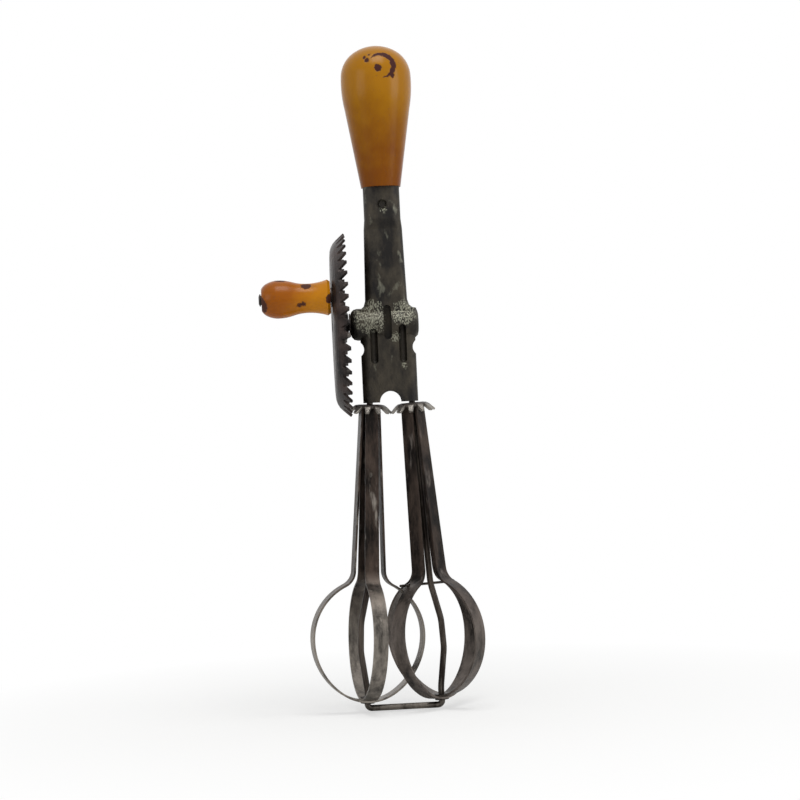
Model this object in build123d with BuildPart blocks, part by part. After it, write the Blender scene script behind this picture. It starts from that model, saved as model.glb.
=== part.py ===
from build123d import *
from math import atan2, cos, degrees, radians, sin, tan
import os

# A hand cranked rotary beater: a turned wood grip, a two-part sheet steel frame, a toothed
# crank wheel with a turned knob, and two counter-turning cages of flat steel strip that spin
# on the legs of one bent wire.  Millimetres.  +Z runs up the tool towards the grip, the crank
# wheel is on the -X side, -Y is the front.  The origin is the middle of the grip.

os.makedirs("parts", exist_ok=True)

# ---------------------------------------------------------------- fits
run_gap = 0.05                  # radial clearance of the turned running fits
loose_gap = 0.08                # and of the eyelets and the knob
end_gap = 0.35                  # axial play and passing clearance between moving bodies

# ---------------------------------------------------------------- grip
grip_length = 64.0
grip_end_radius = 8.95
grip_neck_radius = 14.7         # where the belly runs out into the straight taper
grip_neck_drop = 28.6           # below the crown
grip_max_radius = 15.8
grip_max_drop = 13.2
grip_crown_radius = 9.5         # where the crown turns into the shoulder
grip_crown_drop = 2.7
tenon_length = 13.5
tenon_gap = 0.1                 # wood to sheet, all round

# ---------------------------------------------------------------- frame, two mirrored stampings
sheet = 0.9                     # wall of both stampings
frame_half_depth = 4.8          # flat face to the parting plane
frame_edge = 3.2                # rolled edge between face and flange
socket_half_width = 8.2
socket_half_depth = 6.2
socket_corner = 4.6
socket_length = 14.5            # straight stretch round the tenon
socket_step = 4.5               # length of the step from socket to neck
neck_half_width = 8.65
neck_foot_half_width = 9.5
neck_length = 32.2
shoulder_length = 4.0           # the flare from the neck out to the axle barrel
shoulder_half_width = 13.4
barrel_drop = 10.5              # neck's foot to the axle
barrel_radius = 7.2             # cross barrel round the axle
barrel_round = 3.0              # rounding of the barrel's ends, in flats
barrel_left = 16.6              # reach towards the wheel
barrel_right = 14.1
box_half_width = 12.4
box_drop = 35.6                 # axle to the frame's foot
notch_radius = 3.8              # round reliefs under the barrel
notch_out = 14.7
notch_drop = 11.2               # axle to the reliefs' centre
arch_radius = 5.0               # half-round opening in the foot
weld_groove_width = 3.6         # middle groove, pressed in until both halves meet
weld_groove_top = 8.2           # above the axle
weld_groove_foot = 7.3          # below the axle
grip_groove_width = 3.4         # side grooves that grip the wire's legs
grip_groove_out = 6.5
grip_groove_left_top = 2.2      # below the axle
grip_groove_right_top = 0.8
grip_groove_foot = 18.1
crimp_radius = 3.2              # punched dimples that bite into the tenon
crimp_depth = 1.5
crimp_drop = 8.1                # socket's mouth to the dimples
dimple_floor = 0.45             # floor of a punched dimple, as a share of its radius

# ---------------------------------------------------------------- axle
axle_radius = 2.5
axle_head_radius = 3.7
axle_head_height = 0.9
bush_start = 13.5               # bush inside the barrel, from the centre line
bush_end = 9.4
washer_radius = 5.2
washer_thickness = 0.6

# ---------------------------------------------------------------- crank wheel and hub
wheel_teeth = 44
wheel_tip_radius = 41.6
wheel_gap_depth = 3.1
wheel_root_width = 1.2
wheel_flank = 33.0              # half angle of the gaps between the teeth, degrees
wheel_sheet = 1.0
wheel_flare = 48.0              # slope of the toothed rim, from the web, degrees
wheel_bend = 8.5                # radius of the bend from web to rim, pressed in flats
wheel_depth = 6.4               # web's outer face to the tooth tips
wheel_tip_out = 18.3            # centre line to the plane of the tooth tips
hub_radius = 7.9
hub_shoulder = 2.2              # length of the hub's rounded nose
hub_nose_radius = 5.0
hub_round = 1.2                 # break of the hub's shoulder
dimple_radius = 5.6             # shallow seat of the axle's head

# ---------------------------------------------------------------- crank knob
knob_throw = 28.0               # axle to knob
knob_lift_angle = 24.9          # above the front direction, at rest, degrees
knob_length = 30.3
knob_end_radius = 4.9
knob_turn_radius = 7.2          # where the blunt end turns into the bulb
knob_turn = 2.4                 # from the outer end, as the next two
knob_bulb = 7.4
knob_waist = 20.3
knob_bulb_radius = 8.4
knob_waist_radius = 6.45
knob_foot_radius = 7.95
knob_foot_round = 1.2
stud_radius = 2.1
stud_head_radius = 2.7
stud_head_height = 0.9
stud_rivet_radius = 3.2
stud_rivet_height = 0.7
knob_washer_radius = 4.4
knob_washer_thickness = 0.5

# ---------------------------------------------------------------- pinions
pinion_teeth = 11
pinion_out = 9.6                # each pinion's centre, from the tool's centre line
pinion_tip_radius = 10.3
pinion_gap_depth = 3.2
pinion_root_width = 1.1
pinion_flank = 31.0             # half angle of the gaps, degrees
pinion_sheet = 1.0
pinion_flat = 5.0
pinion_bend = 4.0
pinion_droop = 45.0             # slope of the teeth, degrees
pinion_gap_to_frame = 0.65
collar_radius = 2.5             # drawn collar round the wire
collar_length = 3.2

# ---------------------------------------------------------------- beaters
splay = 3.1                     # lean of each beater's axis, degrees
strip_thickness = 0.9
strip_width = 6.6
strip_top_width = 5.8
tab_width = 3.6
tab_shoulder = 1.15             # strip's shoulders, below the pinion's top face
strip_top_radius = 4.3          # outer face at the pinion
neck_end_radius = 7.4           # outer face where the shoulder bend begins
neck_drop = 75.5                # pinion to the shoulder bend
shoulder_bend = 7.0
bulb_radius = 26.0
bulb_drop = 105.2               # pinion to the widest place
bottom_drop = 134.8             # pinion to the outer hoop's lowest face
bottom_centre_drop = 8.0        # widest place to the centre of the bottom arc
left_blade_angle = 11.5         # of the outer hoop, from +X, degrees
right_blade_angle = 47.5
eyelet_radius = 2.5
eyelet_flange_radius = 3.2
eyelet_flange = 0.4

# ---------------------------------------------------------------- wire that carries both beaters
wire_radius = 1.4
wire_knee_drop = 17.0           # axle to the bend out of the grooves
wire_on_axis_drop = 30.5        # axle to the place where the leg is on the beater's axis
wire_knee_bend = 14.0
wire_foot_bend = 2.0
wire_bow = 3.2                  # outward bow inside each bulb
wire_bow_bend = 24.0
wire_bow_marks = (82.0, 99.0, 112.0, 130.0)     # its corners, below the pinion
wire_top_gap = 1.2              # leg's end to the top of its groove

# ---------------------------------------------------------------- brace in the right cage
brace_radius = 0.6
brace_drop = 82.5               # pinion to the brace, on the axis
brace_fall = 3.6                # its back end stands this much lower than its front end
brace_offset = 3.0              # passes this far beside the axis
brace_half_span = 17.5          # past the strips that hold it, before it is trimmed

# ---------------------------------------------------------------- levels and planes that follow
grip_foot = -grip_length / 2
socket_foot = grip_foot - socket_length
neck_top = socket_foot - socket_step
neck_foot = neck_top - neck_length
axle_level = neck_foot - barrel_drop
frame_foot = axle_level - box_drop
pinion_top = frame_foot - pinion_gap_to_frame
washer_end = -barrel_left - washer_thickness
hub_nose = washer_end - end_gap
web_outer = -wheel_tip_out - wheel_depth
web_inner = web_outer + wheel_sheet
knob_y = -knob_throw * cos(radians(knob_lift_angle))
knob_z = axle_level + knob_throw * sin(radians(knob_lift_angle))

across_axle = Plane(origin=(0, 0, axle_level), x_dir=(0, 1, 0), z_dir=(1, 0, 0))
along_axle = Plane(origin=(0, 0, axle_level), x_dir=(1, 0, 0), z_dir=(0, -1, 0))
along_knob = Plane(origin=(0, knob_y, knob_z), x_dir=(1, 0, 0), z_dir=(0, -1, 0))
axle_axis = Axis((0, 0, axle_level), (1, 0, 0))
knob_axis = Axis((0, knob_y, knob_z), (1, 0, 0))


def beater_plane(side):
    """Plane of one pinion's top face; its normal is that beater's axis, pointing up."""
    lean = radians(splay)
    return Plane(
        origin=(side * pinion_out, 0, pinion_top),
        x_dir=(cos(lean), 0, side * sin(lean)),
        z_dir=(-side * sin(lean), 0, cos(lean)),
    )


def plane_at(plane, angle):
    """Plane through a beater's axis: its X points out at the angle, its Y up the axis."""
    turn = radians(angle)
    outward = plane.x_dir * cos(turn) + plane.y_dir * sin(turn)
    return Plane(origin=plane.origin, x_dir=outward, z_dir=outward.cross(plane.z_dir))


def tooth_gaps(teeth, tip_radius, depth, root_width, flank, first_gap):
    """Draws the gaps of a toothed rim into the open sketch: V shaped with a narrow flat root."""
    root = tip_radius - depth
    half = root_width / 2
    far = tip_radius + 1
    far_half = half + (far - root) * tan(radians(flank))
    with PolarLocations(0, teeth, start_angle=first_gap):
        Polygon((root, -half), (far, -far_half), (far, far_half), (root, half), align=None)


def turned(arc, flats):
    """Points along an arc of a turned profile, after its start, at even steps."""
    return [arc @ (step / flats) for step in range(1, flats + 1)]


def bend_corners(centre, radius, start, turn, flats):
    """Corners of a bend that is pressed in flats, on an arc that starts at the angle and turns."""
    angles = [radians(start + turn * step / flats) for step in range(flats + 1)]
    return [(centre[0] + radius * cos(a), centre[1] + radius * sin(a)) for a in angles]


def dimple(radius):
    """Cuts a punched dimple of the radius, with sloping sides and a small flat floor."""
    for turn in (-90, 90):
        with Locations(Location((0, 0, 0), (turn, 0, 0))):
            Cone(radius, radius * dimple_floor, radius, align=base_down, mode=Mode.SUBTRACT)


dent_out = socket_half_depth + crimp_radius - crimp_depth
base_down = (Align.CENTER, Align.CENTER, Align.MIN)

# ---------------------------------------------------------------- grip: turned wood with a tenon
with BuildPart() as handle_grip:
    with BuildSketch(Plane.XZ):
        with BuildLine():
            top = grip_length / 2
            crown_end = (grip_crown_radius, top - grip_crown_drop)
            widest = (grip_max_radius, top - grip_max_drop)
            belly_end = (grip_neck_radius, top - grip_neck_drop)
            private = Mode.PRIVATE
            crown = TangentArc((0, top), crown_end, tangent=(1, 0), mode=private)
            shoulder = TangentArc(crown_end, widest, tangent=crown % 1, mode=private)
            belly = TangentArc(widest, belly_end, tangent=shoulder % 1, mode=private)
            Polyline(
                (0, top), *turned(crown, 3), *turned(shoulder, 5), *turned(belly, 3),
                (grip_end_radius, grip_foot), (0, grip_foot),
                close=True,
            )
        make_face()
    revolve(axis=Axis.Z)
    with BuildSketch(Plane.XY.offset(grip_foot)):
        RectangleRounded(
            2 * (socket_half_width - sheet - tenon_gap),
            2 * (socket_half_depth - sheet - tenon_gap),
            socket_corner - sheet - tenon_gap,
        )
    extrude(amount=-tenon_length)
    with Locations((0, -dent_out, grip_foot - crimp_drop), (0, dent_out, grip_foot - crimp_drop)):
        dimple(crimp_radius + sheet + tenon_gap)
handle_grip.part.label = "handle_grip"
export_step(handle_grip.part, "parts/handle_grip.step")


# ---------------------------------------------------------------- frame stampings
def frame_form(inset):
    """Solid of the whole frame, drawn in by the inset: 0 is its outside, one sheet its hollow."""
    half_depth = frame_half_depth - inset
    edge = frame_edge - inset

    def section(level, half_width, depth=half_depth, corner=edge):
        with BuildSketch(Plane.XY.offset(level)) as ring:
            RectangleRounded(2 * (half_width - inset), 2 * depth, corner)
        return ring.sketch

    socket = section(
        socket_foot, socket_half_width, socket_half_depth - inset, socket_corner - inset
    )
    flare_out = shoulder_half_width - neck_foot_half_width
    flare_rings = []
    for part_way in (0, 0.6, 0.88, 1):
        swell = 1 - (1 - part_way**2) ** 0.5
        ring_level = neck_foot - part_way * shoulder_length
        flare_rings.append(section(ring_level, neck_foot_half_width + swell * flare_out))
    with BuildPart() as form:
        # socket, the step down to the neck, the neck, and the flare out to the barrel
        extrude(socket, amount=socket_length)
        loft([socket, section(neck_top, neck_half_width)], ruled=True)
        neck_ends = [section(neck_top, neck_half_width), section(neck_foot, neck_foot_half_width)]
        loft(neck_ends, ruled=True)
        loft(flare_rings, ruled=True)
        extrude(flare_rings[-1], amount=-shoulder_length)
        # box over the pinions
        extrude(section(frame_foot, box_half_width), amount=box_drop)
        # barrel across, with its ends rounded in flats
        round_out = barrel_radius - barrel_round
        left_end = bend_corners(
            (barrel_round - barrel_left, round_out), barrel_round - inset, 180, -90, 3
        )
        right_end = bend_corners(
            (barrel_right - barrel_round, round_out), barrel_round - inset, 90, -90, 3
        )
        with BuildSketch(along_axle):
            with BuildLine():
                Polyline(
                    (inset - barrel_left, 0), *left_end, *right_end, (barrel_right - inset, 0),
                    close=True,
                )
            make_face()
        revolve(axis=axle_axis)
        # round reliefs under the barrel's ends
        with BuildSketch(Plane.XZ):
            with Locations((-notch_out, axle_level - notch_drop), (notch_out, axle_level - notch_drop)):
                Circle(notch_radius + inset)
        extrude(amount=2 * barrel_radius, both=True, mode=Mode.SUBTRACT)
        # middle groove, down to the parting plane
        with BuildSketch(Plane.XZ.offset(sheet - inset)):
            with Locations((0, axle_level + (weld_groove_top - weld_groove_foot) / 2)):
                SlotOverall(
                    weld_groove_top + weld_groove_foot + 2 * inset,
                    weld_groove_width + 2 * inset,
                    rotation=90,
                )
        extrude(amount=2 * barrel_radius, mode=Mode.SUBTRACT)
        # side grooves with a round floor, down to the wire
        groove_radius = grip_groove_width / 2
        groove_centre = wire_radius + sheet + groove_radius
        for side, top_drop in ((-1, grip_groove_left_top), (1, grip_groove_right_top)):
            upper = axle_level - top_drop - groove_radius
            lower = axle_level - grip_groove_foot + groove_radius
            end_radius = groove_radius + inset
            with Locations((side * grip_groove_out, -groove_centre, (upper + lower) / 2)):
                Cylinder(end_radius, upper - lower, mode=Mode.SUBTRACT)
            with Locations(
                (side * grip_groove_out, -groove_centre, upper),
                (side * grip_groove_out, -groove_centre, lower),
            ):
                Sphere(end_radius, mode=Mode.SUBTRACT)
            with BuildSketch(Plane.XZ.offset(groove_centre)):
                with Locations((side * grip_groove_out, (upper + lower) / 2)):
                    SlotCenterToCenter(upper - lower, 2 * end_radius, rotation=90)
            extrude(amount=2 * barrel_radius, mode=Mode.SUBTRACT)
        # punched dimple in the socket
        with Locations((0, -dent_out, grip_foot - crimp_drop)):
            dimple(crimp_radius + inset)
    return form.part


with BuildPart() as frame_front:
    add(frame_form(0))
    add(frame_form(sheet), mode=Mode.SUBTRACT)
    with BuildSketch(Plane.XZ):
        with Locations((0, frame_foot)):
            Circle(arch_radius)
    extrude(amount=2 * barrel_radius, both=True, mode=Mode.SUBTRACT)
    with BuildSketch(across_axle):
        Circle(axle_radius)
    extrude(amount=-2 * barrel_left, mode=Mode.SUBTRACT)
    split(bisect_by=Plane.XZ, keep=Keep.TOP)
frame_front.part.label = "frame_front"
export_step(frame_front.part, "parts/frame_front.step")

with BuildPart() as frame_back:
    mirror(frame_front.part, about=Plane.XZ)
frame_back.part.label = "frame_back"
export_step(frame_back.part, "parts/frame_back.step")

# ---------------------------------------------------------------- axle, its bush and washer
head_seat = web_inner - end_gap
with BuildPart() as wheel_axle:
    with BuildSketch(along_axle):
        with BuildLine():
            Polyline(
                (-bush_end, 0),
                (-bush_end, axle_radius),
                (head_seat, axle_radius),
                (head_seat, axle_head_radius),
                (head_seat - axle_head_height * 0.4, axle_head_radius),
                (head_seat - axle_head_height, axle_head_radius - 1.1),
                (head_seat - axle_head_height, 0),
                close=True,
            )
        make_face()
    revolve(axis=axle_axis)
wheel_axle.part.label = "wheel_axle"
export_step(wheel_axle.part, "parts/wheel_axle.step")

with BuildPart() as axle_bush:
    with BuildSketch(across_axle.offset(-bush_start)):
        Circle(barrel_radius - sheet)
        Circle(axle_radius, mode=Mode.SUBTRACT)
    extrude(amount=bush_start - bush_end)
axle_bush.part.label = "axle_bush"
export_step(axle_bush.part, "parts/axle_bush.step")

with BuildPart() as axle_washer:
    with BuildSketch(across_axle.offset(washer_end)):
        Circle(washer_radius)
        Circle(axle_radius, mode=Mode.SUBTRACT)
    extrude(amount=washer_thickness)
axle_washer.part.label = "axle_washer"
export_step(axle_washer.part, "parts/axle_washer.step")

# ---------------------------------------------------------------- crank wheel: dished toothed disc
flare = radians(wheel_flare)
bend_run = wheel_bend * sin(flare)
bend_rise = wheel_bend * (1 - cos(flare))
rim_run = (wheel_depth - bend_rise) / tan(flare)
bend_start = wheel_tip_radius - rim_run - bend_run
with BuildPart() as drive_wheel:
    with BuildSketch(along_axle):
        with BuildLine():
            centre = (web_outer + wheel_bend, bend_start)
            outer_bend = bend_corners(centre, wheel_bend, 180, -wheel_flare, 4)
            inner_bend = bend_corners(centre, wheel_bend - wheel_sheet, 180, -wheel_flare, 4)
            tip = (-wheel_tip_out, wheel_tip_radius)
            lip = (tip[0] + wheel_sheet * cos(flare), tip[1] - wheel_sheet * sin(flare))
            Polyline(
                (web_outer, 0), *outer_bend, tip, lip, *reversed(inner_bend), (web_inner, 0),
                close=True,
            )
        make_face()
    revolve(axis=axle_axis)
    # shallow seat for the axle's head, pressed towards the frame
    with BuildSketch(across_axle.offset(web_outer)):
        Circle(dimple_radius)
    extrude(amount=wheel_sheet, mode=Mode.SUBTRACT)
    with BuildSketch(across_axle.offset(web_inner)):
        Circle(dimple_radius + wheel_sheet)
    extrude(amount=wheel_sheet)
    with BuildSketch(across_axle.offset(web_outer)):
        Circle(axle_radius + run_gap)
    extrude(amount=wheel_depth, mode=Mode.SUBTRACT)
    # teeth; at rest one stands straight down
    with BuildSketch(across_axle.offset(web_outer)):
        tooth_gaps(
            wheel_teeth, wheel_tip_radius, wheel_gap_depth, wheel_root_width, wheel_flank,
            180 / wheel_teeth - 90,
        )
    extrude(amount=wheel_depth + wheel_sheet, mode=Mode.SUBTRACT)
    # hole for the knob's stud
    with BuildSketch(across_axle.offset(web_outer)):
        with Locations((knob_y, knob_z - axle_level)):
            Circle(stud_radius)
    extrude(amount=wheel_sheet, mode=Mode.SUBTRACT)
drive_wheel.part.label = "drive_wheel"
export_step(drive_wheel.part, "parts/drive_wheel.step")

with BuildPart() as wheel_hub:
    with BuildSketch(along_axle):
        with BuildLine():
            Polyline(
                (web_inner, axle_radius + run_gap),
                (hub_nose, axle_radius + run_gap),
                (hub_nose, hub_nose_radius),
                (hub_nose - hub_shoulder * 0.6, hub_radius - hub_round * 0.4),
                (hub_nose - hub_shoulder, hub_radius),
                (web_inner, hub_radius),
                close=True,
            )
        make_face()
    revolve(axis=axle_axis)
    add(drive_wheel.part, mode=Mode.SUBTRACT)
wheel_hub.part.label = "wheel_hub"
export_step(wheel_hub.part, "parts/wheel_hub.step")

# ---------------------------------------------------------------- knob, its stud and washer
knob_start = web_outer - knob_washer_thickness - end_gap
knob_end = knob_start - knob_length
stud_head_seat = knob_end - end_gap
with BuildPart() as knob_stud:
    with BuildSketch(along_knob):
        with BuildLine():
            Polyline(
                (web_inner + stud_rivet_height, 0),
                (web_inner + stud_rivet_height, stud_rivet_radius - 0.6),
                (web_inner, stud_rivet_radius),
                (web_inner, stud_radius),
                (stud_head_seat, stud_radius),
                (stud_head_seat, stud_head_radius),
                (stud_head_seat - stud_head_height * 0.5, stud_head_radius),
                (stud_head_seat - stud_head_height, stud_head_radius - 1),
                (stud_head_seat - stud_head_height, 0),
                close=True,
            )
        make_face()
    revolve(axis=knob_axis)
knob_stud.part.label = "knob_stud"
export_step(knob_stud.part, "parts/knob_stud.step")

with BuildPart() as knob_washer:
    with BuildSketch(across_axle.offset(web_outer)):
        with Locations((knob_y, knob_z - axle_level)):
            Circle(knob_washer_radius)
            Circle(stud_radius, mode=Mode.SUBTRACT)
    extrude(amount=-knob_washer_thickness)
knob_washer.part.label = "knob_washer"
export_step(knob_washer.part, "parts/knob_washer.step")

with BuildPart() as crank_knob:
    with BuildSketch(along_knob):
        with BuildLine():
            bore = stud_radius + loose_gap
            widest = (knob_end + knob_bulb, knob_bulb_radius)
            waist = (knob_end + knob_waist, knob_waist_radius)
            between = ((widest[0] + waist[0]) / 2, (widest[1] + waist[1]) / 2)
            end_turn = (knob_end + knob_turn, knob_turn_radius)
            foot_turn = (knob_start - knob_foot_round, knob_foot_radius)
            private = Mode.PRIVATE
            blunt = TangentArc(widest, end_turn, tangent=(-1, 0), mode=private)
            end = TangentArc(end_turn, (knob_end, knob_end_radius), tangent=blunt % 1, mode=private)
            bulb = TangentArc(widest, between, tangent=(1, 0), mode=private)
            hollow = TangentArc(between, waist, tangent=bulb % 1, mode=private)
            foot = TangentArc(waist, foot_turn, tangent=(1, 0), mode=private)
            Polyline(
                (knob_end, bore), end @ 1, end @ 0.5, end_turn, blunt @ 0.5, widest,
                *turned(bulb, 3), *turned(hollow, 3), *turned(foot, 4),
                (knob_start, knob_foot_radius - knob_foot_round * 0.7), (knob_start, bore),
                close=True,
            )
        make_face()
    revolve(axis=knob_axis)
crank_knob.part.label = "crank_knob"
export_step(crank_knob.part, "parts/crank_knob.step")

# ---------------------------------------------------------------- hoops of the two cages
neck_lean = atan2(neck_end_radius - strip_top_radius, neck_drop)
bend_x = neck_end_radius + shoulder_bend * cos(neck_lean)
bend_y = -neck_drop + shoulder_bend * sin(neck_lean)
reach = bulb_radius - bend_x
rise = bulb_drop + bend_y
upper_radius = (reach**2 + rise**2 - shoulder_bend**2) / (2 * (reach + shoulder_bend))
upper_angle = degrees(atan2(rise, bend_x - bulb_radius + upper_radius))


def hoop_face(low, inset):
    """Draws one face of a hoop's strip, from the pinion to its lowest point at the drop."""
    stretch = low - bulb_drop - bulb_radius
    side_out = stretch * (2 * bottom_centre_drop - stretch) / (2 * (bottom_centre_drop - stretch))
    side_angle = degrees(atan2(bottom_centre_drop, side_out))
    shift_x = inset * cos(neck_lean)
    shift_y = inset * sin(neck_lean)
    Line(
        (strip_top_radius - shift_x, 0),
        (neck_end_radius - shift_x, -neck_drop - shift_y),
    )
    CenterArc(
        (bend_x, bend_y), shoulder_bend + inset, 180 + degrees(neck_lean),
        upper_angle - degrees(neck_lean),
    )
    CenterArc((bulb_radius - upper_radius, -bulb_drop), upper_radius - inset, 0, upper_angle)
    CenterArc((-side_out, -bulb_drop), bulb_radius + side_out - inset, -side_angle, side_angle)
    bottom_radius = low - bulb_drop - bottom_centre_drop - inset
    CenterArc((0, -bulb_drop - bottom_centre_drop), bottom_radius, -90, 90 - side_angle)


def hoop(plane, angle, low):
    """One strip bent into a hoop, with a tab at both ends and the eyelet's hole at the bottom."""
    with BuildPart() as strip:
        with BuildSketch(plane_at(plane, angle)):
            with BuildLine():
                hoop_face(low, 0)
                hoop_face(low, strip_thickness)
                Line((strip_top_radius, 0), (strip_top_radius - strip_thickness * cos(neck_lean), 0))
                Line((0, -low), (0, strip_thickness - low))
            make_face()
            mirror(about=Plane.YZ)
        extrude(amount=strip_width / 2, both=True)
        with BuildSketch(plane_at(plane, angle + 90)):
            with BuildLine():
                Polyline(
                    (0, 0),
                    (tab_width / 2, 0),
                    (tab_width / 2, -tab_shoulder),
                    (strip_top_width / 2, -tab_shoulder),
                    (strip_width / 2, -neck_drop),
                    (strip_width / 2, -low),
                    (0, -low),
                    close=True,
                )
            make_face()
            mirror(about=Plane.YZ)
        extrude(amount=2 * bulb_radius, both=True, mode=Mode.INTERSECT)
        with BuildSketch(plane.offset(-low)):
            Circle(eyelet_radius)
        extrude(amount=3 * strip_thickness, mode=Mode.SUBTRACT)
    return strip.part


def inner_hoop(plane, angle, outer):
    """The hoop that lies on the outer one at the bottom, seated on its curve."""
    with BuildPart() as strip:
        add(hoop(plane, angle + 90, bottom_drop - strip_thickness))
        add(outer, mode=Mode.SUBTRACT)
    return strip.part


def pinion(plane, hoops, first_gap):
    """Drooping toothed disc with a drawn collar, slotted for the hoops' tabs."""
    droop = radians(pinion_droop)
    bend_fall = pinion_bend * (1 - cos(droop))
    slope_start = pinion_flat + pinion_bend * sin(droop)
    tip_fall = bend_fall + (pinion_tip_radius - slope_start) * tan(droop)
    bore = wire_radius + run_gap
    with BuildPart() as gear:
        with BuildSketch(plane_at(plane, 0)):
            with BuildLine():
                centre = (pinion_flat, -pinion_bend)
                top_bend = bend_corners(centre, pinion_bend, 90, -pinion_droop, 2)
                low_bend = bend_corners(centre, pinion_bend - pinion_sheet, 90, -pinion_droop, 2)
                tip = (pinion_tip_radius, -tip_fall)
                lip = (tip[0] - pinion_sheet * sin(droop), tip[1] - pinion_sheet * cos(droop))
                Polyline(
                    *top_bend, tip, lip, *reversed(low_bend),
                    (collar_radius, -pinion_sheet),
                    (collar_radius, -pinion_sheet - collar_length),
                    (bore, -pinion_sheet - collar_length),
                    (bore, 0),
                    close=True,
                )
            make_face()
        revolve(axis=Axis(plane.origin, plane.z_dir))
        with BuildSketch(plane):
            tooth_gaps(
                pinion_teeth, pinion_tip_radius, pinion_gap_depth, pinion_root_width,
                pinion_flank, first_gap,
            )
        extrude(amount=-2 * pinion_tip_radius, mode=Mode.SUBTRACT)
        for strip in hoops:
            add(strip, mode=Mode.SUBTRACT)
    return gear.part


def eyelet(plane, hoops):
    """Flanged tube that joins the crossing strips and turns on the wire."""
    bore = wire_radius + loose_gap
    top = 2 * strip_thickness - bottom_drop
    with BuildPart() as tube:
        with BuildSketch(plane_at(plane, 0)):
            with BuildLine():
                Polyline(
                    (bore, top + eyelet_flange),
                    (eyelet_flange_radius, top + eyelet_flange),
                    (eyelet_flange_radius, top),
                    (eyelet_radius, top),
                    (eyelet_radius, -bottom_drop + eyelet_flange / 2),
                    (eyelet_flange_radius, -bottom_drop + eyelet_flange / 2),
                    (eyelet_flange_radius, -bottom_drop - eyelet_flange),
                    (bore, -bottom_drop - eyelet_flange),
                    close=True,
                )
            make_face()
        revolve(axis=Axis(plane.origin, plane.z_dir))
        for strip in hoops:
            add(strip, mode=Mode.SUBTRACT)
    return tube.part


# ---------------------------------------------------------------- left cage
left_plane = beater_plane(-1)
with BuildPart() as left_outer_hoop:
    add(hoop(left_plane, left_blade_angle, bottom_drop))
left_outer_hoop.part.label = "left_outer_hoop"
export_step(left_outer_hoop.part, "parts/left_outer_hoop.step")

with BuildPart() as left_inner_hoop:
    add(inner_hoop(left_plane, left_blade_angle, left_outer_hoop.part))
left_inner_hoop.part.label = "left_inner_hoop"
export_step(left_inner_hoop.part, "parts/left_inner_hoop.step")

# a gap faces the wheel, so that a tooth faces the other pinion
left_hoops = (left_outer_hoop.part, left_inner_hoop.part)
with BuildPart() as left_pinion:
    add(pinion(left_plane, left_hoops, 180))
left_pinion.part.label = "left_pinion"
export_step(left_pinion.part, "parts/left_pinion.step")

with BuildPart() as left_bottom_eyelet:
    add(eyelet(left_plane, left_hoops))
left_bottom_eyelet.part.label = "left_bottom_eyelet"
export_step(left_bottom_eyelet.part, "parts/left_bottom_eyelet.step")

# ---------------------------------------------------------------- right cage
right_plane = beater_plane(1)
with BuildPart() as right_outer_hoop:
    add(hoop(right_plane, right_blade_angle, bottom_drop))
right_outer_hoop.part.label = "right_outer_hoop"
export_step(right_outer_hoop.part, "parts/right_outer_hoop.step")

with BuildPart() as right_inner_hoop:
    add(inner_hoop(right_plane, right_blade_angle, right_outer_hoop.part))
right_inner_hoop.part.label = "right_inner_hoop"
export_step(right_inner_hoop.part, "parts/right_inner_hoop.step")

right_hoops = (right_outer_hoop.part, right_inner_hoop.part)
with BuildPart() as right_pinion:
    add(pinion(right_plane, right_hoops, 180))
right_pinion.part.label = "right_pinion"
export_step(right_pinion.part, "parts/right_pinion.step")

with BuildPart() as right_bottom_eyelet:
    add(eyelet(right_plane, right_hoops))
right_bottom_eyelet.part.label = "right_bottom_eyelet"
export_step(right_bottom_eyelet.part, "parts/right_bottom_eyelet.step")

# thin straight brace from strip to strip of the outer hoop, beside the wire
brace_plane = plane_at(right_plane, right_blade_angle)
with BuildPart() as right_brace_wire:
    with BuildLine():
        slope = brace_fall / 2 / bulb_radius
        beside = brace_plane.z_dir * -brace_offset
        middle = brace_plane.origin + beside - brace_plane.y_dir * brace_drop
        run = brace_plane.x_dir - brace_plane.y_dir * slope
        brace_line = Line(middle - run * brace_half_span, middle + run * brace_half_span)
    with BuildSketch(Plane(origin=brace_line @ 0, z_dir=brace_line % 0)):
        Circle(brace_radius)
    sweep()
    add(right_outer_hoop.part, mode=Mode.SUBTRACT)
right_brace_wire.part.label = "right_brace_wire"
export_step(right_brace_wire.part, "parts/right_brace_wire.step")

# ---------------------------------------------------------------- wire: one U through both cages
lean = radians(splay)


def on_axis(drop, outward=0.0):
    """Point of the wire beside the right beater's axis, at a drop below its pinion."""
    return (
        pinion_out + drop * sin(lean) + outward * cos(lean),
        pinion_top - drop * cos(lean) + outward * sin(lean),
    )


foot_drop = bottom_drop + eyelet_flange + end_gap + wire_foot_bend
bow_start, bow_out, bow_back, bow_end = wire_bow_marks
leg_points = [
    (grip_groove_out, axle_level - grip_groove_left_top - wire_top_gap),
    (grip_groove_out, axle_level - wire_knee_drop),
    on_axis(wire_on_axis_drop - box_drop - pinion_gap_to_frame),
    on_axis(bow_start),
    on_axis(bow_out, wire_bow),
    on_axis(bow_back, wire_bow),
    on_axis(bow_end),
    on_axis(foot_drop),
]
other_leg = [(-x, z) for x, z in reversed(leg_points)]
leg_bends = [wire_knee_bend] * 2 + [wire_bow_bend] * 4
wire_bends = leg_bends + [wire_foot_bend] * 2 + leg_bends[::-1]
with BuildPart() as spindle_wire:
    with BuildLine(Plane.XZ):
        FilletPolyline(*leg_points, *other_leg, radius=wire_bends)
    with BuildSketch(Plane.XY.offset(leg_points[0][1])):
        with Locations((grip_groove_out, 0)):
            Circle(wire_radius)
    sweep()
spindle_wire.part.label = "spindle_wire"
export_step(spindle_wire.part, "parts/spindle_wire.step")
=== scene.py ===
import math

import bmesh
import bpy
from mathutils import Matrix, Vector


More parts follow.
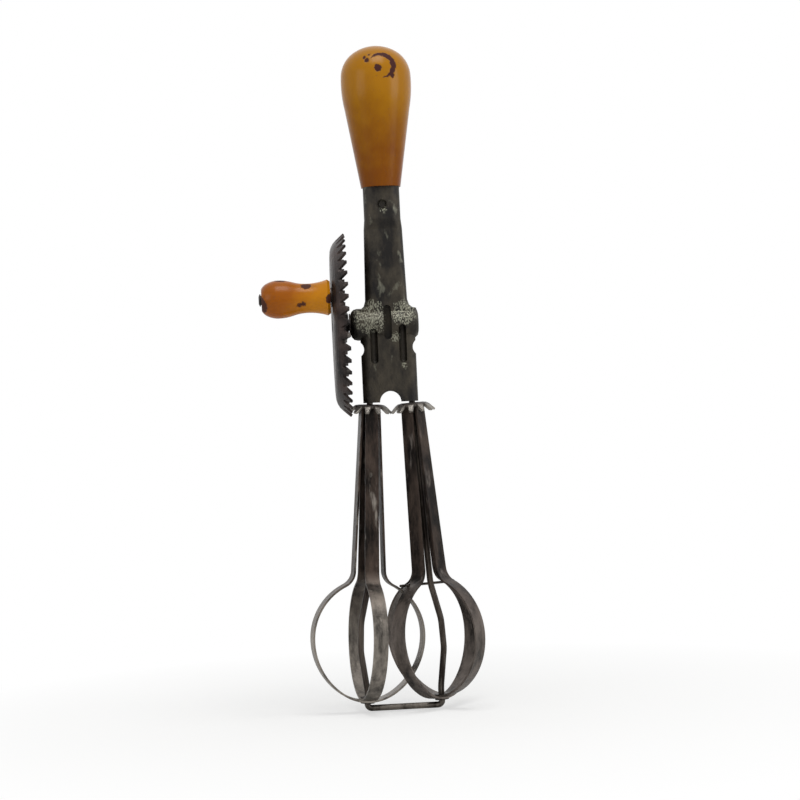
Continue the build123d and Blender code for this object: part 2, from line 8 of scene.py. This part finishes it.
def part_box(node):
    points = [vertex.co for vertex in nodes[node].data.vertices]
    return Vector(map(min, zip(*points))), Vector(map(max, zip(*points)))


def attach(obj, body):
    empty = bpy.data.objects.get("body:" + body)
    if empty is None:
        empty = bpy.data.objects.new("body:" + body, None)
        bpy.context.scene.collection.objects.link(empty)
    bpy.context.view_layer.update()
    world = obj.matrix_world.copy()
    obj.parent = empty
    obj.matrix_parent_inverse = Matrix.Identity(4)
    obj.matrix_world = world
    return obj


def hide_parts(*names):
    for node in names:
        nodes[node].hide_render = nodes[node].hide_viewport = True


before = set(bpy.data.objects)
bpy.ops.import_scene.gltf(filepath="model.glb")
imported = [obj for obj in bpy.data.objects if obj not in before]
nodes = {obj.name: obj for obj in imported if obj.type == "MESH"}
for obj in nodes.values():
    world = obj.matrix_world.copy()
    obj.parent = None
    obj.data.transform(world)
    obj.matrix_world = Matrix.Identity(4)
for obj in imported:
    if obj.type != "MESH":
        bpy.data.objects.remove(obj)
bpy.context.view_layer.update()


# Stage: a pale matt floor just under the tool's foot, a soft box overhead and one on each side, and
# the camera of the photograph: level, a little to the crank's side, with the tool's top leaning
# left in the picture.
def linear(hex_code):
    """The linear colour, with alpha, of an sRGB hex code."""
    parts = [int(hex_code[i : i + 2], 16) / 255 for i in (1, 3, 5)]
    return [c / 12.92 if c <= 0.04045 else ((c + 0.055) / 1.055) ** 2.4 for c in parts] + [1.0]


def add_node(tree, kind, inputs=None, **settings):
    """Adds a shader node: a socket among its inputs is linked, and any other value is set."""
    made = tree.nodes.new(kind)
    for name, value in settings.items():
        setattr(made, name, value)
    for name, value in (inputs or {}).items():
        if isinstance(value, bpy.types.NodeSocket):
            tree.links.new(value, made.inputs[name])
        else:
            made.inputs[name].default_value = value
    return made


scene = bpy.context.scene
scene.view_settings.view_transform = "Standard"

aim = Vector((0.0042, 0, -0.1286))
camera_turn = math.radians(2.5)
camera_roll = math.radians(-2.69)
camera_distance = 1.0
camera_lens = 99.3
camera_data = bpy.data.cameras.new("camera")
camera_data.lens = camera_lens
camera = bpy.data.objects.new("camera", camera_data)
scene.collection.objects.link(camera)
stand = aim + camera_distance * Vector((-math.sin(camera_turn), -math.cos(camera_turn), 0))
facing = (aim - stand).to_track_quat("-Z", "Y").to_matrix().to_4x4()
camera.matrix_world = Matrix.Translation(stand) @ facing @ Matrix.Rotation(camera_roll, 4, "Z")
scene.camera = camera

floor_level = -0.2693
floor_half = 3.0
floor_corners = [
    (x * floor_half, y * floor_half, floor_level) for x, y in ((-1, -1), (1, -1), (1, 1), (-1, 1))
]
floor_mesh = bpy.data.meshes.new("floor")
floor_mesh.from_pydata(floor_corners, [], [(0, 1, 2, 3)])
floor = bpy.data.objects.new("floor", floor_mesh)
scene.collection.objects.link(floor)

# Matt white paper: it shows a faint grey shadow round the foot and goes to pure white beyond it.
shadow_near = 0.06
shadow_far = 0.26
white_at_foot = 0.55
floor_white = bpy.data.materials.new("pale_floor")
floor_white.use_nodes = True
tree = floor_white.node_tree
paper = tree.nodes["Principled BSDF"]
paper.inputs["Base Color"].default_value = linear("#FAFAF8")
paper.inputs["Roughness"].default_value = 0.9
ray = add_node(tree, "ShaderNodeLightPath")
glow = add_node(tree, "ShaderNodeEmission", {"Color": linear("#FFFFFF"), "Strength": 1.0})
ground = add_node(tree, "ShaderNodeTexCoord").outputs["Object"]
away = add_node(
    tree, "ShaderNodeVectorMath", {0: ground, 1: (0.0, 0.0, floor_level)}, operation="DISTANCE"
)
clear = add_node(
    tree, "ShaderNodeMapRange",
    {
        "Value": away.outputs["Value"],
        "From Min": shadow_near,
        "From Max": shadow_far,
        "To Min": white_at_foot,
    },
)
seen = add_node(
    tree, "ShaderNodeMath", {0: ray.outputs["Is Camera Ray"], 1: clear.outputs[0]},
    operation="MULTIPLY",
)
blend = add_node(
    tree, "ShaderNodeMixShader", {0: seen.outputs[0], 1: paper.outputs[0], 2: glow.outputs[0]}
)
tree.links.new(blend.outputs[0], tree.nodes["Material Output"].inputs["Surface"])
floor_mesh.materials.append(floor_white)

# The world is pure white where it is seen or mirrored, and a weaker white where it only lights.
fill_strength = 0.40
world = bpy.data.worlds.new("studio")
scene.world = world
world.use_nodes = True
tree = world.node_tree
ray = add_node(tree, "ShaderNodeLightPath")
direct = add_node(
    tree, "ShaderNodeMath",
    {0: ray.outputs["Is Camera Ray"], 1: ray.outputs["Is Transmission Ray"]},
    operation="ADD",
)
shown = add_node(
    tree, "ShaderNodeMath", {0: direct.outputs[0], 1: ray.outputs["Is Glossy Ray"]},
    operation="MAXIMUM",
)
fill = add_node(
    tree, "ShaderNodeBackground", {"Color": linear("#FFFFFF"), "Strength": fill_strength}
)
backdrop = add_node(tree, "ShaderNodeBackground", {"Color": linear("#FFFFFF"), "Strength": 1.0})
blend = add_node(
    tree, "ShaderNodeMixShader", {0: shown.outputs[0], 1: fill.outputs[0], 2: backdrop.outputs[0]}
)
tree.links.new(blend.outputs[0], tree.nodes["World Output"].inputs["Surface"])

lamp_size = 0.5
for name, place, power in (
    ("overhead_box", Vector((0.05, -0.35, 0.75)), 4.6),
    ("left_box", Vector((-0.8, -0.6, 0.15)), 1.3),
    ("right_box", Vector((0.9, -0.5, 0.1)), 2.8),
):
    lamp_data = bpy.data.lights.new(name, "AREA")
    lamp_data.size = lamp_size
    lamp_data.energy = power
    lamp = bpy.data.objects.new(name, lamp_data)
    scene.collection.objects.link(lamp)
    facing = (aim - place).to_track_quat("-Z", "Y").to_matrix().to_4x4()
    lamp.matrix_world = Matrix.Translation(place) @ facing


# Grip: turned beech, dipped in amber gloss enamel and baked.  Its colour is painted darker down
# the neck and yellower over the crown, painted shade below and painted light from above, and the
# enamel is knocked off in chips that show a dark primer.  Its tenon sits in the frame's socket.
def chip_mask(tree, place, marks, raggedness):
    """1 inside any of the marks, given as centre, radius and, or None, a disc bitten out of it."""
    edge_softness = 0.0002
    # the rims wander in steps about 1.1 mm long
    rough = add_node(
        tree, "ShaderNodeTexNoise", {"Vector": place, "Scale": 1 / 0.0011, "Detail": 3.0}
    )

    def disc(centre, radius):
        away = add_node(
            tree, "ShaderNodeVectorMath", {0: place, 1: centre}, operation="DISTANCE"
        )
        wandered = add_node(
            tree, "ShaderNodeMath",
            {0: rough.outputs["Fac"], 1: raggedness, 2: away.outputs["Value"]},
            operation="MULTIPLY_ADD",
        )
        rim = radius + raggedness / 2
        return add_node(
            tree, "ShaderNodeMapRange",
            {
                "Value": wandered.outputs[0],
                "From Min": rim + edge_softness,
                "From Max": rim - edge_softness,
            },
        ).outputs[0]

    whole = 0.0
    for centre, radius, bite in marks:
        mark = disc(centre, radius)
        if bite:
            mark = add_node(
                tree, "ShaderNodeMath", {0: mark, 1: disc(*bite)},
                operation="SUBTRACT", use_clamp=True,
            ).outputs[0]
        whole = add_node(
            tree, "ShaderNodeMath", {0: whole, 1: mark}, operation="MAXIMUM"
        ).outputs[0]
    return whole


def worn_enamel(name, deep, middle, light, chip, fade, marks, scuffs):
    """Gloss enamel on turned wood: slow drifts of colour, dirt specks, scuffs and chips.

    fade is the axis, and the places along it, over which the colour goes from deep to light: on the
    grip painted shade below and painted light above, on the knob a darkening towards its outer end.
    scuffs is the band of noise from sound enamel to scuffed.
    """
    enamel = bpy.data.materials.new(name)
    enamel.use_nodes = True
    tree = enamel.node_tree
    shader = tree.nodes["Principled BSDF"]
    place = add_node(tree, "ShaderNodeTexCoord").outputs["Object"]
    # drifts of colour about 14 mm long
    drift = add_node(
        tree, "ShaderNodeTexNoise",
        {"Vector": place, "Scale": 1 / 0.014, "Detail": 4.0, "Roughness": 0.55},
    )
    along = add_node(tree, "ShaderNodeSeparateXYZ", {0: place})
    # the colour goes from deep to light along the fade: painted shade and light on the grip, a
    # darkening towards the outer end on the knob
    fade_axis, fade_start, fade_end = fade
    shade_and_darkening = add_node(
        tree, "ShaderNodeMapRange",
        {"Value": along.outputs[fade_axis], "From Min": fade_start, "From Max": fade_end},
    )
    drift_share = 0.55
    height = add_node(
        tree, "ShaderNodeMath",
        {0: drift.outputs["Fac"], 1: drift_share, 2: shade_and_darkening.outputs[0]},
        operation="MULTIPLY_ADD",
    )
    tone = add_node(tree, "ShaderNodeValToRGB", {"Fac": height.outputs[0]})
    tone.color_ramp.elements[0].position = 0.18
    tone.color_ramp.elements[0].color = linear(deep)
    tone.color_ramp.elements[1].color = linear(light)
    tone.color_ramp.elements.new(0.6).color = linear(middle)
    # dirt specks about 0.7 mm across
    speck = add_node(
        tree, "ShaderNodeTexNoise", {"Vector": place, "Scale": 1 / 0.0007, "Detail": 2.0}
    )
    dots = add_node(
        tree, "ShaderNodeMapRange",
        {"Value": speck.outputs["Fac"], "From Min": 0.70, "From Max": 0.78},
    )
    # scuffs about 4 mm long
    scuff_noise = add_node(
        tree, "ShaderNodeTexNoise",
        {"Vector": place, "Scale": 1 / 0.004, "Detail": 6.0, "Roughness": 0.7},
    )
    sound, scuffed = scuffs
    scuff_depth = 0.6
    scuff = add_node(
        tree, "ShaderNodeMapRange",
        {
            "Value": scuff_noise.outputs["Fac"],
            "From Min": sound,
            "From Max": scuffed,
            "To Max": scuff_depth,
        },
    )
    marred = add_node(
        tree, "ShaderNodeMath", {0: dots.outputs[0], 1: scuff.outputs[0]}, operation="MAXIMUM"
    )
    chip_raggedness = 0.0016
    chips = chip_mask(tree, place, marks, chip_raggedness)
    bare = add_node(
        tree, "ShaderNodeMath", {0: marred.outputs[0], 1: chips}, operation="MAXIMUM"
    )
    colour = add_node(
        tree, "ShaderNodeMix",
        {"Factor": bare.outputs[0], 6: tone.outputs[0], 7: linear(chip)},
        data_type="RGBA",
    )
    tree.links.new(colour.outputs[2], shader.inputs["Base Color"])
    gloss_roughness = 0.24
    bare_roughness = 0.62
    gloss = add_node(
        tree, "ShaderNodeMapRange",
        {"Value": bare.outputs[0], "To Min": gloss_roughness, "To Max": bare_roughness},
    )
    tree.links.new(gloss.outputs[0], shader.inputs["Roughness"])
    shader.inputs["IOR"].default_value = 1.45
    shader.inputs["Specular IOR Level"].default_value = 0.2
    sunk = add_node(
        tree, "ShaderNodeMath", {0: drift.outputs["Fac"], 1: bare.outputs[0]},
        operation="SUBTRACT",
    )
    relief = add_node(
        tree, "ShaderNodeBump", {"Height": sunk.outputs[0], "Strength": 0.35, "Distance": 0.0006}
    )
    tree.links.new(relief.outputs[0], shader.inputs["Normal"])
    return enamel


# Amber enamel on beech, dipped and baked: a smooth warm gloss with soft-edged highlights, and
# matt dark spots with ragged rims where it has chipped.  The largest chip is a crescent.
# Its colour runs from deep at the foot to light at the crown: painted shade below, painted light above.
amber = worn_enamel(
    "amber_enamel_on_beech", "#6C3200", "#7C4400", "#A06A04", "#3A1814", ("Z", -0.055, 0.040),
    [
        ((0.0028, -0.0140, 0.0214), 0.0062, ((0.0012, -0.0148, 0.0206), 0.0053)),
        ((0.0006, -0.0156, 0.0200), 0.0017, None),
        ((0.0068, -0.0142, 0.0165), 0.0012, None),
        ((-0.0040, -0.0135, 0.0235), 0.0012, None),
        ((-0.0052, -0.0125, 0.0250), 0.0009, None),
        ((-0.0030, -0.0120, 0.0262), 0.0007, None),
        ((-0.0046, -0.0128, 0.0212), 0.0006, None),
    ],
    (0.70, 0.82),
)


def tangent_arc(start, end, heading, steps):
    """The arc that leaves start at the heading and reaches end: its points after start, and the
    heading at its end."""
    chord = Vector(end) - Vector(start)
    turn = 2 * math.remainder(math.atan2(chord.y, chord.x) - heading, 2 * math.pi)
    radius = chord.length / (2 * math.sin(turn / 2))
    points = []
    for step in range(1, steps + 1):
        angle = turn * step / steps
        reach = 2 * radius * math.sin(angle / 2)
        lean = heading + angle / 2
        points.append((start[0] + reach * math.cos(lean), start[1] + reach * math.sin(lean)))
    return points, heading + turn


def turn_wood(name, profile, place, body, node, material):
    """Spins a profile of (radius, height) pairs about +Z, sets it in place and dresses it."""
    sides = 96
    crease = math.radians(35)
    made = bmesh.new()
    corners = [made.verts.new((radius, 0, height)) for radius, height in profile]
    edges = [made.edges.new(pair) for pair in zip(corners, corners[1:])]
    bmesh.ops.spin(
        made, geom=corners + edges, cent=(0, 0, 0), axis=(0, 0, 1), angle=2 * math.pi, steps=sides,
        use_merge=True,
    )
    bmesh.ops.remove_doubles(made, verts=made.verts, dist=1e-6)
    bmesh.ops.dissolve_degenerate(made, edges=made.edges, dist=1e-7)
    bmesh.ops.recalc_face_normals(made, faces=made.faces)
    made.transform(place)
    mesh = bpy.data.meshes.new(name)
    made.to_mesh(mesh)
    made.free()
    for face in mesh.polygons:
        face.use_smooth = True
    mesh.set_sharp_from_angle(angle=crease)
    mesh.materials.append(material)
    piece = bpy.data.objects.new(name, mesh)
    scene.collection.objects.link(piece)
    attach(piece, body)
    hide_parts(node)


grip_crown = (0.0, 0.032)
grip_shoulder = (0.0095, 0.0293)
grip_widest = (0.0158, 0.0188)
grip_neck = (0.0147, 0.0034)
grip_foot = (0.00895, -0.032)
tenon_radius = 0.0034
tenon_foot = -0.0455
crown_points, heading = tangent_arc(grip_crown, grip_shoulder, 0.0, 8)
shoulder_points, heading = tangent_arc(grip_shoulder, grip_widest, heading, 14)
belly_points, heading = tangent_arc(grip_widest, grip_neck, heading, 8)
grip_profile = [grip_crown] + crown_points + shoulder_points + belly_points
grip_profile += [grip_foot, (tenon_radius, grip_foot[1]), (tenon_radius, tenon_foot), (0.0, tenon_foot)]
turn_wood("wood_grip", grip_profile, Matrix.Identity(4), "frame", "handle_grip", amber)


# Frame: two mirrored stampings of thin sheet steel, plated and spot welded back to back.  The
# plate has gone brown-black, and shows as bright mottled zinc over the upper half of the axle's
# barrel, worn plate there partly painted highlight, and as painted highlights by the grooves' ends.
def tarnished_steel(name, dark, brown, bright, cover, streak, shine, patches=(), bulb=None, teeth=None):
    """Old plated steel: dark tarnish with brown rust, worn bright where it was handled.

    cover is how much plate is left, streak the pattern's scale on each axis, and shine the
    metallic share and the highest and lowest roughness.  The light colour is also laid in patches,
    which include painted highlights, from one height to another in bulb, and out from an axis
    along Z in teeth.
    """
    steel = bpy.data.materials.new(name)
    steel.use_nodes = True
    tree = steel.node_tree
    shader = tree.nodes["Principled BSDF"]
    place = add_node(tree, "ShaderNodeTexCoord").outputs["Object"]
    stretched = add_node(tree, "ShaderNodeMapping", {"Vector": place, "Scale": streak}).outputs[0]
    # mottling about 10 mm across, drawn out along the piece
    mottle = add_node(
        tree, "ShaderNodeTexNoise",
        {"Vector": stretched, "Scale": 1 / 0.010, "Detail": 8.0, "Roughness": 0.65},
    ).outputs["Fac"]
    tone = add_node(tree, "ShaderNodeValToRGB", {"Fac": mottle})
    tone.color_ramp.elements[0].position = 0.40
    tone.color_ramp.elements[0].color = linear(dark)
    tone.color_ramp.elements[1].position = 0.62
    tone.color_ramp.elements[1].color = linear(brown)
    # grains of plate left on the steel, about 0.6 mm across
    grain = add_node(
        tree, "ShaderNodeTexNoise",
        {"Vector": stretched, "Scale": 1 / 0.0006, "Detail": 3.0, "Roughness": 0.6},
    ).outputs["Fac"]
    # rubbed spots about 5.5 mm across
    rub = add_node(
        tree, "ShaderNodeTexNoise", {"Vector": stretched, "Scale": 1 / 0.0055, "Detail": 5.0}
    )
    rub_strength = 0.55
    amount = add_node(
        tree, "ShaderNodeMapRange",
        {
            "Value": rub.outputs["Fac"],
            "From Min": 0.62 - cover,
            "From Max": 0.72 - cover / 2,
            "To Max": rub_strength,
        },
    ).outputs[0]
    if bulb:
        # the colour is lighter low down, from one height to another
        bulb_top, bulb_low, bulb_share = bulb
        height = add_node(tree, "ShaderNodeSeparateXYZ", {0: place})
        low = add_node(
            tree, "ShaderNodeMapRange",
            {
                "Value": height.outputs["Z"],
                "From Min": bulb_top,
                "From Max": bulb_low,
                "To Max": bulb_share,
            },
        )
        skin = add_node(
            tree, "ShaderNodeMapRange", {"Value": mottle, "From Min": 0.30, "From Max": 0.60}
        )
        lighter_low = add_node(
            tree, "ShaderNodeMath", {0: skin.outputs[0], 1: low.outputs[0]}, operation="MULTIPLY"
        )
        amount = add_node(
            tree, "ShaderNodeMath", {0: lighter_low.outputs[0], 1: amount}, operation="MAXIMUM"
        ).outputs[0]
    if teeth:
        # teeth lighter further out: distance from the axis that they turn on
        teeth_axis, teeth_root, teeth_tip = teeth
        teeth_strength = 0.85
        flat_place = add_node(
            tree, "ShaderNodeMapping", {"Vector": place, "Scale": (1.0, 1.0, 0.0)}
        )
        out = add_node(
            tree, "ShaderNodeVectorMath", {0: flat_place.outputs[0], 1: teeth_axis},
            operation="DISTANCE",
        )
        teeth_lighter = add_node(
            tree, "ShaderNodeMapRange",
            {
                "Value": out.outputs["Value"],
                "From Min": teeth_root,
                "From Max": teeth_tip,
                "To Max": teeth_strength,
            },
        )
        amount = add_node(
            tree, "ShaderNodeMath", {0: amount, 1: teeth_lighter.outputs[0]}, operation="MAXIMUM"
        ).outputs[0]
    if patches:
        # light patches of plate, some of them painted highlights, flecked by the grain
        patch_raggedness = 0.006
        fleck = add_node(
            tree, "ShaderNodeMapRange", {"Value": grain, "From Min": 0.47, "From Max": 0.58}
        )
        area = chip_mask(tree, place, patches, patch_raggedness)
        flecked = add_node(
            tree, "ShaderNodeMath", {0: area, 1: fleck.outputs[0]}, operation="MULTIPLY"
        )
        amount = add_node(
            tree, "ShaderNodeMath", {0: amount, 1: flecked.outputs[0]}, operation="MAXIMUM"
        ).outputs[0]
    colour = add_node(
        tree, "ShaderNodeMix", {"Factor": amount, 6: tone.outputs[0], 7: linear(bright)},
        data_type="RGBA",
    )
    tree.links.new(colour.outputs[2], shader.inputs["Base Color"])
    metallic, high_roughness, low_roughness = shine
    shader.inputs["Metallic"].default_value = metallic
    polish = add_node(
        tree, "ShaderNodeMapRange",
        {
            "Value": mottle,
            "From Min": 0.3,
            "From Max": 0.7,
            "To Min": low_roughness,
            "To Max": high_roughness,
        },
    )
    tree.links.new(polish.outputs[0], shader.inputs["Roughness"])
    pitted = add_node(tree, "ShaderNodeMath", {0: grain, 1: mottle}, operation="ADD")
    relief = add_node(
        tree, "ShaderNodeBump", {"Height": pitted.outputs[0], "Strength": 0.35, "Distance": 0.0004}
    )
    tree.links.new(relief.outputs[0], shader.inputs["Normal"])
    return steel


def dress(node_names, material):
    """Gives the solids one material, in place of what they have."""
    for name in node_names:
        mesh = nodes[name].data
        mesh.materials.clear()
        mesh.materials.append(material)


# Zinc plated sheet, stamped and long tarnished: a satin brown-black, with grey-green grainy patches
# of worn plate on the upper half of the barrel, partly painted highlight, and painted highlights
# by the grooves' ends, the same on the front and the back.
frame_plate_and_highlight_patches = [
    ((x, off * depth, z), radius, None)
    for depth in (-1, 1)
    for x, off, z, radius in (
        # worn plate on the upper half of the barrel, where the light falls: partly painted highlight
        (-0.0075, 0.0062, -0.0905, 0.0078),
        (0.0072, 0.0062, -0.0892, 0.0056),
        (0.0035, 0.0045, -0.1000, 0.0022),
        (0.0002, 0.0060, -0.0425, 0.0014),
        # painted highlights at the left groove's top end and the right groove's lower end
        (-0.0065, 0.0048, -0.0955, 0.0012),
        (0.0068, 0.0048, -0.1130, 0.0011),
    )
]
frame_steel = tarnished_steel(
    "tarnished_zinc_plated_sheet", "#120F0D", "#403A30", "#8E8D7D", 0.02, (1.2, 1.2, 0.6),
    (0.55, 0.62, 0.42), frame_plate_and_highlight_patches,
)
dress(["frame_front", "frame_back"], frame_steel)

# Weld web: where the middle groove's floors meet, the two stampings are spot welded into one web.
# This steel closes the slot that the solids leave there, flush with both floors.
web_low = Vector((-0.0019, -0.00088, -0.0963))
web_high = Vector((0.0002, 0.00088, -0.0911))
web_edge = 0.00012
made = bmesh.new()
bmesh.ops.create_cube(made, size=1.0)
bmesh.ops.scale(made, verts=made.verts, vec=web_high - web_low)
bmesh.ops.translate(made, verts=made.verts, vec=(web_high + web_low) / 2)
bmesh.ops.bevel(
    made, geom=made.edges[:], offset=web_edge, offset_type="OFFSET", affect="EDGES", segments=2,
    profile=0.5, material=-1,
)
web_mesh = bpy.data.meshes.new("groove_weld_web")
made.to_mesh(web_mesh)
made.free()
web_mesh.materials.append(frame_steel)
weld_web = bpy.data.objects.new("groove_weld_web", web_mesh)
scene.collection.objects.link(weld_web)
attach(weld_web, "frame")

# Axle, bush, washers, stud and eyelets: small turned and peened pieces of mild steel.  Turned
# steel that has gone dull is a dark even grey, with a soft sheen and no bright plate left.
dull_steel = tarnished_steel(
    "dull_turned_steel", "#181413", "#3C3530", "#77716A", 0.0, (1.0, 1.0, 1.0), (0.8, 0.55, 0.35)
)
dress(["wheel_axle", "axle_bush", "axle_washer", "knob_stud", "knob_washer"], dull_steel)
dress(["left_bottom_eyelet", "right_bottom_eyelet"], dull_steel)

# Crank wheel and hub: sheet steel pressed to a dish with its teeth blanked in the rim.  Pressed
# steel that has tarnished is a dark brown satin, rubbed grey here and there.
gear_steel = tarnished_steel(
    "tarnished_pressed_gear_steel", "#130E0E", "#403633", "#7A746E", 0.02, (1.0, 1.0, 1.0),
    (0.75, 0.55, 0.33),
)
dress(["drive_wheel", "wheel_hub"], gear_steel)

# Pinions: blanked sheet steel with the teeth bent down.  It is as dark as the wheel at the root
# and goes light grey out on the teeth.
teeth_root = 0.0068
teeth_tip = 0.0085
for side, side_name in ((-1, "left"), (1, "right")):
    tooth_steel = tarnished_steel(
        side_name + "_pinion_toothed_steel", "#130E0E", "#403633", "#928D86", 0.02, (1.0, 1.0, 1.0),
        (0.8, 0.5, 0.25), teeth=((0.0096 * side, 0.0, 0.0), teeth_root, teeth_tip),
    )
    dress([side_name + "_pinion"], tooth_steel)

# Knob: turned beech in the same dipped enamel, free to turn on its stud.  The orange enamel is a
# little brighter than the grip's, with the same gloss, darker towards its outer end, and chipped at
# both ends.
orange = worn_enamel(
    "orange_enamel_on_beech", "#783A00", "#965103", "#BC780C", "#46261A", ("X", -0.062, -0.018),
    [
        ((-0.0388, -0.0325, -0.0855), 0.0017, None),
        ((-0.0375, -0.0322, -0.0850), 0.0015, None),
        ((-0.0360, -0.0292, -0.0765), 0.0022, None),
        ((-0.0475, -0.0265, -0.0740), 0.0026, None),
        ((-0.0252, -0.0330, -0.0830), 0.0024, None),
        ((-0.0553, -0.0290, -0.0840), 0.0036, None),
    ],
    (0.62, 0.80),
)
knob_low, knob_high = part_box("crank_knob")
knob_axis = Vector((knob_high[0], (knob_low[1] + knob_high[1]) / 2, (knob_low[2] + knob_high[2]) / 2))
knob_length = knob_high[0] - knob_low[0]
knob_bore = 0.00218
knob_face = (0.0071, 0.0)
knob_foot = (0.00795, 0.0012)
knob_waist = (0.00645, knob_length - 0.0203)
knob_widest = (0.0084, knob_length - 0.0074)
knob_between = tuple((a + b) / 2 for a, b in zip(knob_widest, knob_waist))
knob_turn = (0.0072, knob_length - 0.0024)
knob_end = (0.0049, knob_length)
foot_points, _ = tangent_arc(knob_waist, knob_foot, -math.pi / 2, 8)
hollow_points, _ = tangent_arc(knob_waist, knob_between, math.pi / 2, 8)
bulb_points, _ = tangent_arc(knob_widest, knob_between, -math.pi / 2, 8)
blunt_points, heading = tangent_arc(knob_widest, knob_turn, math.pi / 2, 6)
end_points, _ = tangent_arc(knob_turn, knob_end, heading, 8)
knob_profile = [(knob_bore, 0.0), knob_face] + foot_points[::-1] + [knob_waist] + hollow_points
knob_profile += bulb_points[-2::-1] + [knob_widest] + blunt_points + end_points
knob_profile += [(knob_bore, knob_length), (knob_bore, 0.0)]
knob_place = Matrix.Translation(knob_axis) @ Matrix.Rotation(math.radians(-90), 4, "Y")
turn_wood("wood_knob", knob_profile, knob_place, "crank_knob", "crank_knob", orange)

# Blades: narrow strips of tinned spring steel bent into hoops.  The long necks are almost black,
# and the bulbs lighter, a grey, rust-freckled skin of tin.  The left cage's tin is given a lighter
# colour and a larger share than the right's, as painted highlight.
bulb_top = -0.205
bulb_low = -0.235
for side_name, tin_and_highlight, tin_and_highlight_share in (("left", "#9C958C", 0.85), ("right", "#7C746E", 0.62)):
    strip_steel = tarnished_steel(
        side_name + "_tinned_spring_strip", "#14100E", "#453A33", tin_and_highlight, 0.03, (1.6, 1.6, 0.5),
        (0.85, 0.5, 0.26), bulb=(bulb_top, bulb_low, tin_and_highlight_share),
    )
    dress([side_name + "_outer_hoop", side_name + "_inner_hoop"], strip_steel)

# Wire: one length of drawn steel wire bent to a U, and the thin brace in the right cage.  Drawn
# wire is smooth and streaked along its length, dark up the legs and lighter grey at the bottom.
wire_steel = tarnished_steel(
    "drawn_steel_wire", "#221C19", "#564E47", "#7E7870", 0.04, (1.6, 1.6, 0.35), (0.85, 0.5, 0.3),
    bulb=(-0.262, -0.267, 0.8),
)
dress(["spindle_wire", "right_brace_wire"], wire_steel)
